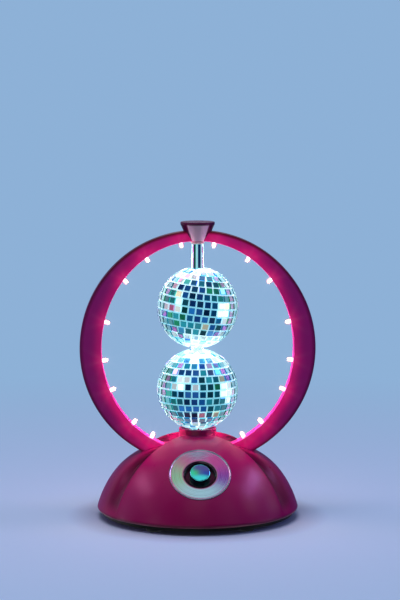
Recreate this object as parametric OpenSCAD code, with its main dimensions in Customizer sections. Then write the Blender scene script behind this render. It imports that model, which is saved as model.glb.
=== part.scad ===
// Table lamp with two mirror-tile balls turning on one spindle inside a lit ring.
// Frame: millimetres, +Z up, front towards -Y, origin on the table under the spindle.

/* [Base] */
// Widest radius of the dome, at its rim
base_r = 94.5; // [90:0.5:100]
// Height of the dome's lower edge above the table
edge_z = 6.5; // [6:0.5:9]
// Height of the dome's crown
crown_z = 79; // [77:0.5:81]
// Radius of the dome's profile arc
dome_rho = 94; // [90:0.5:100]
// Wall of the dome
shell_wall = 3.2; // [2.8:0.1:4]
// Rounding of the dome's lower rim
rim_round = 3.5; // [2.5:0.5:5]
// Angle of a flute's edge on the front and rear lobes, from the ring's plane
flute_angle = 35.5; // [34:0.5:37]
// Angle that a flute spans
flute_span = 11; // [8:0.5:13]
// Height at which the arc of a flute's floor would peak
flute_z = 81.4; // [81:0.2:82]
// Radius of the arc of a flute's floor
flute_rho = 116; // [114:0.5:118]
// Height of the sunk side panels beside the collar
side_z = 69.2; // [68.6:0.2:70]
// Radius of a side panel's arc
side_rho = 74.6; // [74:0.2:76]
// Radius of the collar on the crown
collar_r = 17.5; // [16:0.5:19]
// Height of the collar's rim above the crown
collar_h = 5; // [4:0.25:5.25]
// Wall of the collar's cup
collar_wall = 2; // [1.5:0.25:3]
// Depth of the collar's cup
collar_cup = 4; // [3.5:0.25:5]
// Thickness of the floor plate
floor_t = 3; // [2.5:0.25:3]
// Radius of a rubber foot
foot_r = 7; // [5:0.5:8]
// Distance of a foot from the spindle
foot_at = 80; // [76:0.5:81]

/* [Ring] */
// Width of the ring's band at the top
band_top = 9.75; // [9:0.25:12]
// Width of the ring's band at the sides
band_side = 20.5; // [18:0.5:23]
// Depth under the crown that the opening would reach as an even oval
ring_sink = 20.25; // [19.5:0.25:21]
// Height by which the opening's lower half stops short of the even oval
low_rise = 3.75; // [3:0.25:4.5]
// Thickness of the ring, front to back
ring_t = 15; // [13:0.5:16]
// Rounding of the ring's outer edges
ring_round = 2; // [1:0.25:2.5]
// Wall of the hollow ring
ring_wall = 2.2; // [1.8:0.1:2.4]
// Height at which the ring's legs end inside the dome
leg_z = 59.5; // [59:0.5:62]
// Radius of the finial's rim
finial_r = 16; // [14:0.5:18]
// Radius of the finial where it ends at the opening
finial_foot_r = 9; // [8.8:0.1:10]
// Height of the finial above the ring
finial_h = 8; // [6:0.5:9]
// Height of the finial's upright rim
finial_rim = 2.3; // [1.6:0.1:3]

/* [Lights] */
// Radius of a light's body
led_r = 2.5; // [2:0.1:2.8]
// Length of a light that stands out of the ring
led_out = 5.6; // [4.5:0.1:7]
// Radius of a supply wire
wire_r = 0.5; // [0.4:0.05:0.7]

/* [Balls] */
// Radius of a ball over its tiles
ball_r = 38; // [36:0.25:42]
// Gap between the two balls
ball_gap = 1.2; // [0.9:0.1:2]
// Gap between the lower ball and the floor of the collar's cup
ball_over = 2.4; // [2:0.2:4]
// Rows of tiles from pole to pole
tile_rows = 17; // [15:2:19]
// Edge of a square tile
tile = 5.6; // [5:0.1:5.7]
// Thickness of a tile
tile_t = 1.5; // [1.2:0.1:2]
// Wall of a hollow ball
ball_wall = 2.8; // [2.4:0.1:3.6]
// Tilt of the upper ball's rows
upper_tilt = 7; // [0:1:9]

/* [Spindle] */
// Length of the bright tube between the upper ball and the ring
tube_len = 24.65; // [22:0.05:32]
// Radius of the spindle rod
spindle_r = 2; // [1.5:0.1:2.4]
// Radius of the bright tube over the upper ball
sleeve_r = 5.7; // [5:0.1:6]
// Radius of the sleeve under the lower ball
journal_r = 5; // [4.5:0.1:5.5]

/* [Front plate and button] */
// Radius of the front plate
plate_r = 28.5; // [26:0.5:30]
// Angle of the plate's axis above the table
plate_tilt = 47.5; // [46:0.5:50]
// Thickness of the plate
plate_t = 1.2; // [1:0.1:1.6]
// Height of the plate's raised lip
plate_lip = 0.6; // [0.4:0.1:0.8]
// Outer radius of the button's well
well_r = 15.3; // [14.5:0.1:16]
// Depth of the well
well_depth = 4.6; // [4:0.2:5]
// Radius of the push button
button_r = 9.3; // [8:0.1:10]
// Height of the button's face over the plate
button_out = 4; // [3.5:0.25:5]
// Travel of the push button
button_travel = 3; // [2:0.25:3.25]

/* [Drive] */
// Module of the gear teeth
gear_m = 0.8; // [0.75:0.01:0.82]
// Teeth of a wheel
wheel_teeth = 42; // [40:1:42]
// Teeth of a pinion
pinion_teeth = 14; // [14:1:15]
// Width of a wheel
wheel_w = 4; // [3:0.25:4.5]
// Height of the gear frame's lower plate
drive_z = 24; // [23.5:0.25:24.5]
// Radius of the motor's can
motor_r = 12; // [10:0.5:12]
// Height of the motor's can
motor_h = 14; // [11:0.5:15]

/* [Power] */
// Radius of a cell
cell_r = 7.1; // [6.9:0.05:7.2]
// Length of a cell
cell_len = 50.5; // [50:0.25:51]
// Thickness of the battery door
door_t = 1.6; // [1.2:0.1:1.7]

/* [Fits] */
// Clearance of a running fit
run = 0.06; // [0.03:0.01:0.09]
// Clearance of a seat
fit = 0.15; // [0.1:0.01:0.2]
// Clearance between sliding faces
slide_gap = 0.3; // [0.2:0.05:0.35]

/* [Hidden] */
$fn = 96;

// Dome profile: an arc whose middle lies below the table
rim_z = edge_z + rim_round;
rim_step = 0.08;
dome_cz = crown_z - dome_rho;
function arc_mid(top, rho) = base_r - rim_step - sqrt(pow(rho, 2) - pow(rim_z - top + rho, 2));
dome_cr = arc_mid(crown_z, dome_rho);
edge_r = base_r - rim_round;
side_angle = flute_angle - flute_span / 2;
side_lap = flute_span / 2 + 2;
bay_r = edge_r - shell_wall;
// What is added inside the dome joins the wall this deep below its outer face
root_in = shell_wall - 0.3;
foot_h = edge_z - floor_t;
foot_angle = 58;
collar_top = crown_z + collar_h;
cup_z = collar_top - collar_cup;
screw_at = base_r - 17.5;
screw_angle = 17;
boss_r = 4;

// Small fasteners
screw_r = 1.5;
screw_head_r = 2.8;
screw_head_h = 1.8;

// Stack of balls on the spindle, and the ring that spans it
glue = 0.08;
core_r = ball_r - tile_t - glue;
lower_z = cup_z + ball_over + ball_r;
upper_z = lower_z + 2 * ball_r + ball_gap;
open_top = upper_z + ball_r + tube_len;
open_b = (open_top - crown_z + ring_sink) / 2;
ring_z = open_top - open_b;
ring_r = open_b + band_top;
open_a = ring_r - band_side;
ring_top = ring_z + ring_r;
function half_b(t) = cos(t) > 0 ? open_b : open_b - low_rise;
function open_at(t, g = 0) = 1 / sqrt(pow(sin(t) / (open_a + g), 2) + pow(cos(t) / (half_b(t) + g), 2));
function band_mid(t) = (ring_r + open_at(t)) / 2;

// Angle at which the opening meets the dome, halved in on
function over_dome(t) =
  norm([open_at(t) * sin(t) - dome_cr, ring_z + open_at(t) * cos(t) - dome_cz]) - dome_rho;
function meet(a, b, n) =
  n == 0 ? a : let (m = (a + b) / 2) over_dome(m) > 0 ? meet(m, b, n - 1) : meet(a, m, n - 1);
open_end = meet(110, 175, 24);

// Places of the lights and of the screws, spread between the top and the dome
led_places = [0.0575, 0.1894, 0.3015, 0.475, 0.6258, 0.7448, 0.8955, 0.981];
joint_places = [0.388, 0.557, 0.692, 0.828];
led_angles = [for (f = led_places) f * open_end];
joint_angles = [for (f = joint_places) f * open_end];
led_flange_r = led_r + 0.4;
led_flange_h = 1;
lead_y = 1.27;
wire_at = ring_r - ring_wall - wire_r - 0.6;
joint_boss_r = 3;
leg_screw_x = 27;
leg_block = 5;
leg_in = leg_screw_x - leg_block;
leg_bite = 5;
shelf_t = 2.6;
sleeve_t = 2.2;

// What holds the balls on the spindle
seat_r = sleeve_r + 0.3;
flat_z = sqrt(pow(core_r, 2) - pow(seat_r, 2));
bush_r = 4.5;
bush_flange_r = sleeve_r + 0.6;
bush_flange_h = 2.4;
bush_top = open_top - pow(bush_flange_r, 2) / (2 * open_a) - 0.1;
spindle_top = open_top + ring_wall + 0.8;
sleeve_top = bush_top - bush_flange_h - slide_gap;
collar_bush_r = journal_r + 2.5;
collar_flange_r = journal_r + 4;
collar_flange_h = 1;

// Front plate: sunk until its edge is level with the dome
plate_sink = dome_rho - sqrt(pow(dome_rho, 2) - pow(plate_r, 2));
plate_y = -(dome_cr + (dome_rho - plate_sink) * cos(plate_tilt));
plate_z = dome_cz + (dome_rho - plate_sink) * sin(plate_tilt);
seat_t = 4;
bezel_wall = 1.6;
bezel_floor = 2;
bezel_low = well_depth + bezel_floor;
stem_r = 2.5;
button_low = bezel_low - 1;
switch_pocket = button_travel + 0.6 - 1;
switch_h = 16;

// Gear train: spindle wheel, idler on the slant, motor behind it
gear_c = gear_m * (wheel_teeth + pinion_teeth) / 2;
idler_angle = 30;
motor_angle = 90;
idler_x = gear_c * cos(idler_angle);
idler_y = gear_c * sin(idler_angle);
motor_x = idler_x + gear_c * cos(motor_angle);
motor_y = idler_y + gear_c * sin(motor_angle);
gear_play = 0.12;
frame_t = 2.5;
wheel1_z = drive_z + frame_t + 1.5;
wheel2_z = wheel1_z + wheel_w + 1.5;
lid_z = wheel2_z + wheel_w + 2;
motor_z = lid_z + frame_t;
idler_pin_r = 1.5;
shaft_r = 1;
thrust_z = drive_z - 1.5;
frame_x = 36;
frame_y0 = -20;
frame_y1 = base_r / 2;
post_r = 4;
pillar_r = 3.2;

// Power: three cells side by side behind the spindle
cell_n = 3;
cell_pitch = 2 * cell_r + 0.8;
cell_y0 = 17.5;
cell_z = edge_z + cell_r - 1;
contact_t = 0.5;
bay_x = cell_len / 2 + 2;
bay_wall = 2;
bay_y0 = cell_y0 - cell_r - 0.9;
bay_y1 = cell_y0 + (cell_n - 1) * cell_pitch + cell_r + 0.9;
bay_top = cell_z + cell_r + 0.4;
door_lap = 3;
door_x = bay_x + door_lap;
door_y0 = bay_y0 - 2;
door_y1 = bay_y1 + 3;
door_z = foot_h - slide_gap - door_t;
rail_t = 0.7;
rail_z = door_z - slide_gap - rail_t;
rail_w = 2;
rail_lip = 1.6;
board_in = frame_x + post_r + 2;
board_w = base_r - 26.5 - board_in;
board_x = -board_in - board_w / 2;
board_y = -22;
board_l = 36;
board_t = 1.6;
board_z = 11;

// Frames for what lies on the front plate, on the ring and on mirrored sides
module at_plate() translate([0, plate_y, plate_z]) rotate([90 - plate_tilt, 0, 0]) children();
module in_ring(t, r) translate([0, 0, ring_z]) rotate([0, t, 0]) translate([0, 0, r]) children();
module both_sides() for (s = [0, 1]) mirror([s, 0, 0]) children();
module four_ways() for (s = [0, 1], f = [0, 1]) mirror([s, 0, 0]) mirror([0, f, 0]) children();
module corners4() for (x = [-frame_x, frame_x], y = [frame_y0, frame_y1]) translate([x, y, 0]) children();

// Plain screw, head at the origin and shank along +Z
module screw(len) {
  cylinder(r = screw_head_r, h = screw_head_h);
  cylinder(r = screw_r, h = screw_head_h + len);
}

// Solid dome, drawn in from the outer face by off
module dome_solid(off = 0) {
  rotate_extrude()
    intersection() {
      translate([dome_cr, dome_cz]) circle(dome_rho - off, $fn = 180);
      polygon(concat(
        [[0, edge_z]],
        [for (a = [-90 : 15 : 0]) [edge_r - off + rim_round * cos(a), rim_z + rim_round * sin(a)]],
        [[base_r + 20, rim_z + 1], [base_r + 20, crown_z + 20], [0, crown_z + 20]]
      ));
    }
}

// Room inside the dome, open at the bottom
module dome_room() {
  rotate_extrude()
    intersection() {
      translate([dome_cr, dome_cz]) circle(dome_rho - shell_wall, $fn = 180);
      translate([0, edge_z - 1]) square([bay_r, crown_z]);
    }
}

// What lies over an arc through the rim, turned from angle a0 to a1, or its inner face with off
module over_arc(top, rho, a0, a1, off = 0, r0 = collar_r + 0.4, z0 = rim_z + 6) {
  rotate([0, 0, a0])
    rotate_extrude(angle = a1 - a0)
      difference() {
        translate([r0 - off, z0]) square([base_r, crown_z]);
        translate([arc_mid(top, rho), top - rho]) circle(rho - off, $fn = 180);
      }
}

// Cut that sinks the side panels and their flutes
module side_cut() {
  both_sides() over_arc(side_z, side_rho, -side_angle, side_angle);
  four_ways() over_arc(flute_z, flute_rho, flute_angle - flute_span, flute_angle, 0, collar_r + 13, rim_z + 2);
}

// Outline of the ring's legs in the ring's own plane
module leg_outline(g) {
  difference() {
    translate([0, ring_z]) circle(ring_r + g, $fn = 180);
    translate([0, ring_z]) opening_2d(-g);
    translate([g - leg_in, 0]) square([2 * (leg_in - g), crown_z]);
  }
}

// Oval of the opening, grown by g
module opening_2d(g = 0) {
  polygon([for (t = [0 : 2.5 : 357.5]) [(open_a + g) * sin(t), (half_b(t) + g) * cos(t)]]);
}

module upright(h) translate([0, h / 2, 0]) rotate([90, 0, 0]) linear_extrude(h) children();

// Full disc of the ring with rounded outer edges
module ring_disc(g = 0) {
  translate([0, 0, ring_z]) rotate([90, 0, 0])
    rotate_extrude()
      polygon(concat(
        [[0, -ring_t / 2 - g]],
        [for (a = [-90 : 15 : 0])
          [ring_r + g - ring_round + ring_round * cos(a), -ring_t / 2 - g + ring_round + ring_round * sin(a)]],
        [for (a = [0 : 15 : 90])
          [ring_r + g - ring_round + ring_round * cos(a), ring_t / 2 + g - ring_round + ring_round * sin(a)]],
        [[0, ring_t / 2 + g]]
      ));
}

// Cups inside the dome that take the ring's legs
module leg_cups() {
  both_sides()
    intersection() {
      upright(ring_t + 2 * (fit + sleeve_t)) leg_outline(fit + sleeve_t);
      translate([collar_bush_r + 1.5, -ring_t, leg_z - shelf_t]) cube([ring_r, 2 * ring_t, crown_z]);
    }
}

// Fluted dome with its collar, plate seat, screw bosses and leg cups
module base_shell() {
  color("mediumvioletred")
  difference() {
    union() {
      difference() {
        dome_solid();
        difference() {
          dome_room();
          both_sides() over_arc(side_z, side_rho, -side_angle - side_lap, side_angle + side_lap, shell_wall);
          four_ways() over_arc(flute_z, flute_rho, flute_angle - flute_span - 3, flute_angle + 3, shell_wall,
                               collar_r + 13, rim_z + 3);
        }
      }
      translate([0, 0, cup_z - 6]) cylinder(r = collar_r, h = collar_top - cup_z + 6);
      intersection() {
        dome_solid(root_in);
        union() {
          at_plate() translate([0, 0, -plate_t - seat_t]) cylinder(r = plate_r + 3, h = 20);
          four_ways() rotate([0, 0, screw_angle]) translate([screw_at, 0, edge_z]) cylinder(r = boss_r, h = 60);
          leg_cups();
        }
      }
    }
    translate([0, 0, cup_z]) cylinder(r = collar_r - collar_wall, h = collar_h + 10);
    translate([0, 0, cup_z - 20]) cylinder(r = collar_bush_r + fit, h = 30);
    at_plate() translate([0, 0, -plate_t]) cylinder(r = plate_r + fit, h = 20);
    at_plate() translate([0, 0, -plate_t - seat_t - 10]) cylinder(r = well_r + fit, h = 20);
    difference() {
      upright(ring_t + 2 * fit) leg_outline(fit);
      translate([-ring_r, -ring_t, 0]) cube([2 * ring_r, 2 * ring_t, leg_z]);
    }
    side_cut();
    both_sides() translate([leg_screw_x, 0, leg_z - 20]) cylinder(r = screw_r + fit, h = 20 + leg_bite);
    four_ways() rotate([0, 0, screw_angle]) translate([screw_at, 0, edge_z - 1]) cylinder(r = screw_r + run, h = 13);
  }
}

// Floor with the cell bay, posts for the drive and rails for the door
module base_plate() {
  bay_l = bay_y1 - bay_y0;
  color([0.06, 0.06, 0.07])
  difference() {
    union() {
      translate([0, 0, foot_h]) cylinder(r = edge_r - 1, h = floor_t);
      difference() {
        translate([0, 0, foot_h]) cylinder(r = bay_r - slide_gap, h = floor_t + 4);
        translate([0, 0, foot_h - 1]) cylinder(r = bay_r - slide_gap - 2, h = floor_t + 10);
      }
      translate([-bay_x - bay_wall, bay_y0 - bay_wall, foot_h])
        cube([2 * (bay_x + bay_wall), bay_l + 2 * bay_wall, bay_top + bay_wall - foot_h]);
      corners4() translate([0, 0, foot_h]) cylinder(r = post_r, h = drive_z - foot_h);
      for (x = [-1, 1], y = [-1, 1])
        translate([board_x + x * (board_w / 2 - 4), board_y + y * (board_l / 2 - 4), foot_h])
          cylinder(r = 2.5, h = board_z - foot_h);
      both_sides() {
        translate([door_x + slide_gap, door_y0 - slide_gap - rail_w, rail_z])
          cube([rail_w, door_y1 - door_y0 + rail_w, foot_h - rail_z + 0.5]);
        translate([door_x + slide_gap - rail_lip, door_y0 - slide_gap - rail_w, rail_z])
          cube([rail_lip + 0.5, door_y1 - door_y0 + rail_w, rail_t]);
      }
      translate([-door_x - slide_gap - 0.5, door_y0 - slide_gap - rail_w, rail_z])
        cube([2 * (door_x + slide_gap) + 1, rail_w, foot_h - rail_z + 0.5]);
    }
    translate([-bay_x, bay_y0, foot_h - 1]) cube([2 * bay_x, bay_l, bay_top - foot_h + 1]);
    corners4() translate([0, 0, foot_h + floor_t]) cylinder(r = screw_r + run, h = drive_z);
    four_ways() rotate([0, 0, screw_angle]) translate([screw_at, 0, foot_h - 1]) {
      cylinder(r = screw_r + fit, h = floor_t + 10);
      cylinder(r = screw_head_r + fit, h = 1 + screw_head_h + 0.05);
    }
    four_ways() rotate([0, 0, foot_angle]) translate([foot_at, 0, foot_h - 1]) cylinder(r = 2.5 + fit, h = floor_t + 10);
  }
}

// Soft feet with pegs pushed into the floor
module rubber_feet() {
  color([0.1, 0.1, 0.1])
  four_ways() rotate([0, 0, foot_angle]) translate([foot_at, 0, 0]) {
    translate([0, 0, 1]) cylinder(r = foot_r, h = foot_h - 1);
    cylinder(r1 = foot_r - 0.8, r2 = foot_r, h = 1);
    cylinder(r = 2.5, h = foot_h + floor_t - 0.5);
  }
}

// Screws that hold the floor under the dome
module base_screws() {
  color("gray")
  four_ways() rotate([0, 0, screw_angle]) translate([screw_at, 0, foot_h]) screw(floor_t + 8);
}

// Front half of the hollow ring, with room for lights and wires
module ring_half() {
  difference() {
    intersection() {
      ring_disc();
      translate([-2 * ring_r, -ring_t, leg_z]) cube([4 * ring_r, ring_t, 4 * ring_r]);
    }
    translate([0, 0, ring_z]) upright(2 * ring_t) opening_2d();
    translate([-leg_in, -ring_t, 0]) cube([2 * leg_in, 2 * ring_t, crown_z]);
    difference() {
      translate([0, ring_wall, ring_z]) upright(ring_t)
        difference() {
          circle(ring_r - ring_wall, $fn = 180);
          opening_2d(ring_wall);
        }
      both_sides() {
        for (t = joint_angles) in_ring(t, band_mid(t)) rotate([90, 0, 0])
          cylinder(r = joint_boss_r, h = 2 * ring_t, center = true);
        translate([leg_screw_x - leg_block, -ring_t, 0]) cube([2 * leg_block, 2 * ring_t, leg_z + 15]);
      }
    }
    both_sides() {
      for (t = led_angles) in_ring(t, open_at(t) - 5) cylinder(r = led_r + fit, h = 5 + ring_wall + 0.2);
      for (t = joint_angles) in_ring(t, band_mid(t)) rotate([90, 0, 0])
        cylinder(r = screw_r + run, h = ring_t - 2 * ring_wall, center = true);
      translate([leg_screw_x, 0, leg_z - 1]) cylinder(r = screw_r + run, h = 1.5 + leg_bite);
    }
    translate([0, 0, open_top - 5]) cylinder(r = bush_r + fit, h = 10);
    translate([0, 0, ring_top - 5]) cylinder(r = screw_r + fit, h = 10);
  }
}

module ring_front() {
  color("mediumvioletred") ring_half();
}

// Rear half, the same shape with the screw heads let in
module ring_rear() {
  color("mediumvioletred")
  difference() {
    mirror([0, 1, 0]) ring_half();
    both_sides() for (t = joint_angles) in_ring(t, band_mid(t)) {
      rotate([90, 0, 0]) cylinder(r = screw_r + fit, h = 2 * ring_t, center = true);
      translate([0, ring_t / 2 - screw_head_h, 0]) rotate([-90, 0, 0]) cylinder(r = screw_head_r + fit, h = ring_t);
    }
  }
}

// Screws that close the ring from behind
module ring_screws() {
  color("gray")
  both_sides() for (t = joint_angles) in_ring(t, band_mid(t))
    translate([0, ring_t / 2, 0]) rotate([90, 0, 0]) screw(ring_t - ring_wall - screw_head_h - 1.5);
}

// Screws that hold the ring's legs down in their cups
module leg_screws() {
  color("gray")
  both_sides() translate([leg_screw_x, 0, leg_z - shelf_t - screw_head_h]) screw(shelf_t + leg_bite);
}

// One light: flange inside the ring's wall, round nose towards the balls
module led() {
  rotate_extrude($fn = 48)
    polygon(concat(
      [for (a = [-90 : 18 : 0]) [led_r * cos(a), -led_out + led_r + led_r * sin(a)]],
      [[led_r, ring_wall + 0.4], [led_flange_r, ring_wall + 0.4],
       [led_flange_r, ring_wall + 0.4 + led_flange_h], [0, ring_wall + 0.4 + led_flange_h]]
    ));
}

module leds() {
  color([0.95, 0.95, 1])
  both_sides() for (t = led_angles) in_ring(t, open_at(t)) led();
}

// Two supply wires in each leg of the ring, and the lights' legs
module led_wiring() {
  lead0 = ring_wall + 0.4 + led_flange_h;
  span = led_angles[len(led_angles) - 1] - led_angles[0];
  color("peru")
  both_sides() for (y = [-lead_y, lead_y]) {
    translate([0, y, ring_z]) rotate([90, 0, 0]) rotate([0, 0, 90 - led_angles[len(led_angles) - 1] - 1])
      rotate_extrude(angle = span + 2) translate([wire_at, 0]) circle(wire_r, $fn = 24);
    for (t = led_angles) in_ring(t, open_at(t) + lead0) translate([0, y, 0])
      cylinder(r = 0.3, h = wire_at - open_at(t) - lead0, $fn = 24);
  }
}

// Funnel-shaped finial that straddles the top of the ring
module finial() {
  z0 = open_top + 0.1;
  z2 = ring_top + finial_h;
  z1 = z2 - finial_rim;
  color("purple")
  difference() {
    rotate_extrude()
      polygon(concat(
        [[0, z0], [finial_foot_r, z0], [finial_r, z1]],
        [for (a = [0 : 30 : 90]) [finial_r - 0.8 + 0.8 * cos(a), z2 - 0.8 + 0.8 * sin(a)]],
        [[0, z2]]
      ));
    ring_disc(0.1);
    translate([0, 0, ring_top - 1]) cylinder(r = screw_r + run, h = finial_h - 0.5);
  }
}

// Screw from inside the ring up into the finial
module finial_screw() {
  color("gray")
  translate([0, 0, ring_top - ring_wall - screw_head_h - 0.15]) screw(ring_wall + finial_h - 2);
}

// Top bearing, held between the ring's halves
module top_bush() {
  color("lightgray")
  rotate_extrude()
    polygon([
      [spindle_r + run, bush_top - bush_flange_h], [bush_flange_r - 0.5, bush_top - bush_flange_h],
      [bush_flange_r, bush_top - bush_flange_h + 0.5], [bush_flange_r, bush_top],
      [bush_r, bush_top], [bush_r, spindle_top + 0.6], [spindle_r + run, spindle_top + 0.6]
    ]);
}

// Bearing in the floor of the collar's cup
module collar_bush() {
  color("lightgray")
  translate([0, 0, cup_z])
    rotate_extrude()
      polygon([
        [journal_r + run, -6], [collar_bush_r, -6], [collar_bush_r, 0],
        [collar_flange_r, 0], [collar_flange_r, collar_flange_h], [journal_r + run, collar_flange_h]
      ]);
}

// Spun plate with a raised lip
module front_plate() {
  color("silver")
  at_plate()
    rotate_extrude()
      polygon([
        [well_r + fit, -plate_t], [plate_r, -plate_t], [plate_r, plate_lip - 0.2], [plate_r - 0.3, plate_lip],
        [plate_r - 0.9, plate_lip], [plate_r - 1.4, 0], [well_r + fit + 0.5, 0], [well_r + fit, -0.4]
      ]);
}

// Black cup round the button, with a stepped floor
module button_bezel() {
  hole = button_r + slide_gap;
  color([0.05, 0.05, 0.06])
  at_plate()
    rotate_extrude()
      polygon([
        [hole, -bezel_low], [well_r, -bezel_low], [well_r, 0.2], [well_r - 0.4, 0.5],
        [well_r - bezel_wall, -0.6], [well_r - bezel_wall, -well_depth],
        [hole + 1.9, -well_depth], [hole + 1.9, -well_depth + 0.8], [hole + 1.1, -well_depth + 0.8],
        [hole + 1.1, -well_depth], [hole, -well_depth]
      ]);
}

// Bright button on a stem that runs in the switch
module push_button() {
  color("gainsboro")
  at_plate()
    rotate_extrude()
      polygon([
        [0, -button_low - 7], [stem_r, -button_low - 7], [stem_r, -button_low], [button_r, -button_low],
        [button_r, button_out - 1], [button_r - 0.3, button_out - 0.3], [button_r - 1, button_out],
        [0, button_out]
      ]);
}

// Switch behind the bezel, with its three tags
module switch_body() {
  color([0.2, 0.2, 0.22])
  at_plate() translate([0, 0, -bezel_low])
    difference() {
      union() {
        translate([0, 0, -3]) cylinder(r = well_r - 1.5, h = 3);
        translate([-well_r / 2 - 1, -well_r / 2 - 1, -switch_h]) cube([well_r + 2, well_r + 2, switch_h - 1]);
        for (x = [-4, 0, 4]) translate([x - 1, -0.4, -switch_h - 4]) cube([2, 0.8, 5]);
      }
      translate([0, 0, -switch_pocket]) cylinder(r = button_r + slide_gap, h = switch_pocket + 1);
      translate([0, 0, -switch_h + 2]) cylinder(r = stem_r + run, h = switch_h);
    }
}

// Involute tooth outline of a spur wheel
function inv(a) = tan(a) * 180 / PI - a;
function half_tooth(n, r) =
  let (rp = gear_m * n / 2, rb = rp * cos(20))
  90 / n - gear_play / 2 / rp * 180 / PI + inv(20) - (r > rb ? inv(acos(rb / r)) : 0);
function tooth(n, c) =
  let (rp = gear_m * n / 2, ra = rp + 0.85 * gear_m, rf = rp - 1.15 * gear_m, rb = max(rp * cos(20), rf))
  concat(
    [[rf, c - half_tooth(n, rf)]],
    [for (k = [0 : 4]) let (r = rb + (ra - rb) * k / 4) [r, c - half_tooth(n, r)]],
    [for (k = [4 : -1 : 0]) let (r = rb + (ra - rb) * k / 4) [r, c + half_tooth(n, r)]],
    [[rf, c + half_tooth(n, rf)]]
  );
module spur(n, w, turn) {
  linear_extrude(w)
    polygon([for (i = [0 : n - 1]) for (p = tooth(n, turn + i * 360 / n)) [p[0] * cos(p[1]), p[0] * sin(p[1])]]);
}

// Lower plate of the drive with the spindle's foot bearing and pillars
module gear_frame() {
  color([0.85, 0.85, 0.8])
  difference() {
    union() {
      translate([-frame_x - 5, frame_y0 - 5, drive_z])
        cube([2 * frame_x + 10, frame_y1 - frame_y0 + 10, frame_t]);
      corners4() translate([0, 0, drive_z]) cylinder(r = pillar_r, h = lid_z - drive_z);
      translate([0, 0, thrust_z - 2]) cylinder(r = spindle_r + 3, h = drive_z + frame_t - thrust_z + 2);
    }
    translate([0, 0, thrust_z]) cylinder(r = spindle_r + run, h = 20);
    corners4() translate([0, 0, drive_z - 1]) cylinder(r = screw_r + fit, h = lid_z);
    translate([idler_x, idler_y, drive_z - 1]) cylinder(r = idler_pin_r + 0.01, h = 20);
  }
}

// Upper plate of the drive, which carries the motor
module gear_lid() {
  color([0.85, 0.85, 0.8])
  difference() {
    translate([-frame_x - 5, frame_y0 - 5, lid_z]) cube([2 * frame_x + 10, frame_y1 - frame_y0 + 10, frame_t]);
    translate([0, 0, lid_z - 1]) cylinder(r = spindle_r + 2, h = 20);
    translate([motor_x, motor_y, lid_z - 1]) cylinder(r = shaft_r + 1, h = 20);
    translate([idler_x, idler_y, lid_z - 1]) cylinder(r = idler_pin_r + 0.01, h = 20);
    corners4() translate([0, 0, lid_z - 1]) cylinder(r = screw_r + fit, h = 20);
  }
}

// Long screws through both plates into the floor's posts
module gear_screws() {
  color("gray")
  corners4() translate([0, 0, lid_z + frame_t + screw_head_h]) mirror([0, 0, 1]) screw(lid_z + frame_t - drive_z + 8);
}

// Small motor standing on the upper plate
module motor() {
  color("silver")
  translate([motor_x, motor_y, motor_z])
    difference() {
      union() {
        cylinder(r = motor_r, h = motor_h);
        cylinder(r = 3, h = motor_h + 1.5);
      }
      translate([0, 0, -1]) cylinder(r = shaft_r + run, h = motor_h - 2);
    }
}

// Motor shaft with its pinion
module motor_pinion() {
  color("ivory")
  translate([motor_x, motor_y, 0]) {
    translate([0, 0, wheel2_z - 0.5]) spur(pinion_teeth, wheel_w + 1, motor_angle + 180 - 180 / pinion_teeth);
    translate([0, 0, wheel2_z - 0.5]) cylinder(r = shaft_r, h = motor_z + motor_h - 5 - wheel2_z);
  }
}

// Double gear between motor and spindle
module idler_gear() {
  color("ivory")
  translate([idler_x, idler_y, 0])
    difference() {
      union() {
        translate([0, 0, wheel1_z - 0.5])
          spur(pinion_teeth, wheel2_z - wheel1_z + 0.5, idler_angle + 180 - 180 / pinion_teeth);
        translate([0, 0, wheel2_z]) spur(wheel_teeth, wheel_w, motor_angle);
      }
      translate([0, 0, wheel1_z - 1]) cylinder(r = idler_pin_r + run, h = 20);
    }
}

// Fixed pin the double gear turns on
module idler_pin() {
  color("silver")
  translate([idler_x, idler_y, drive_z]) cylinder(r = idler_pin_r, h = lid_z + frame_t - drive_z);
}

// Steel rod that carries both balls
module spindle() {
  color("silver")
  translate([0, 0, thrust_z + 0.3]) cylinder(r = spindle_r, h = spindle_top - thrust_z - 0.3);
}

// Wheel on the foot of the spindle
module spindle_gear() {
  color("ivory")
  difference() {
    union() {
      translate([0, 0, wheel1_z]) spur(wheel_teeth, wheel_w, idler_angle);
      translate([0, 0, wheel1_z]) cylinder(r = spindle_r + 1.8, h = wheel_w + 1.2);
    }
    translate([0, 0, wheel1_z - 1]) cylinder(r = spindle_r + 0.01, h = 20);
  }
}

// Sleeve that runs in the collar's bearing
module lower_sleeve() {
  color("gainsboro")
  translate([0, 0, cup_z - 9])
    difference() {
      cylinder(r = journal_r, h = lower_z - flat_z - cup_z + 9);
      translate([0, 0, -1]) cylinder(r = spindle_r + 0.01, h = ball_r);
    }
}

// Hollow ball under the tiles, flat where it is clamped
module ball_core() {
  difference() {
    intersection() {
      sphere(core_r);
      cube([3 * core_r, 3 * core_r, 2 * flat_z], center = true);
    }
    sphere(core_r - ball_wall);
    cylinder(r = spindle_r + 0.01, h = 3 * core_r, center = true);
  }
}

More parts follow.
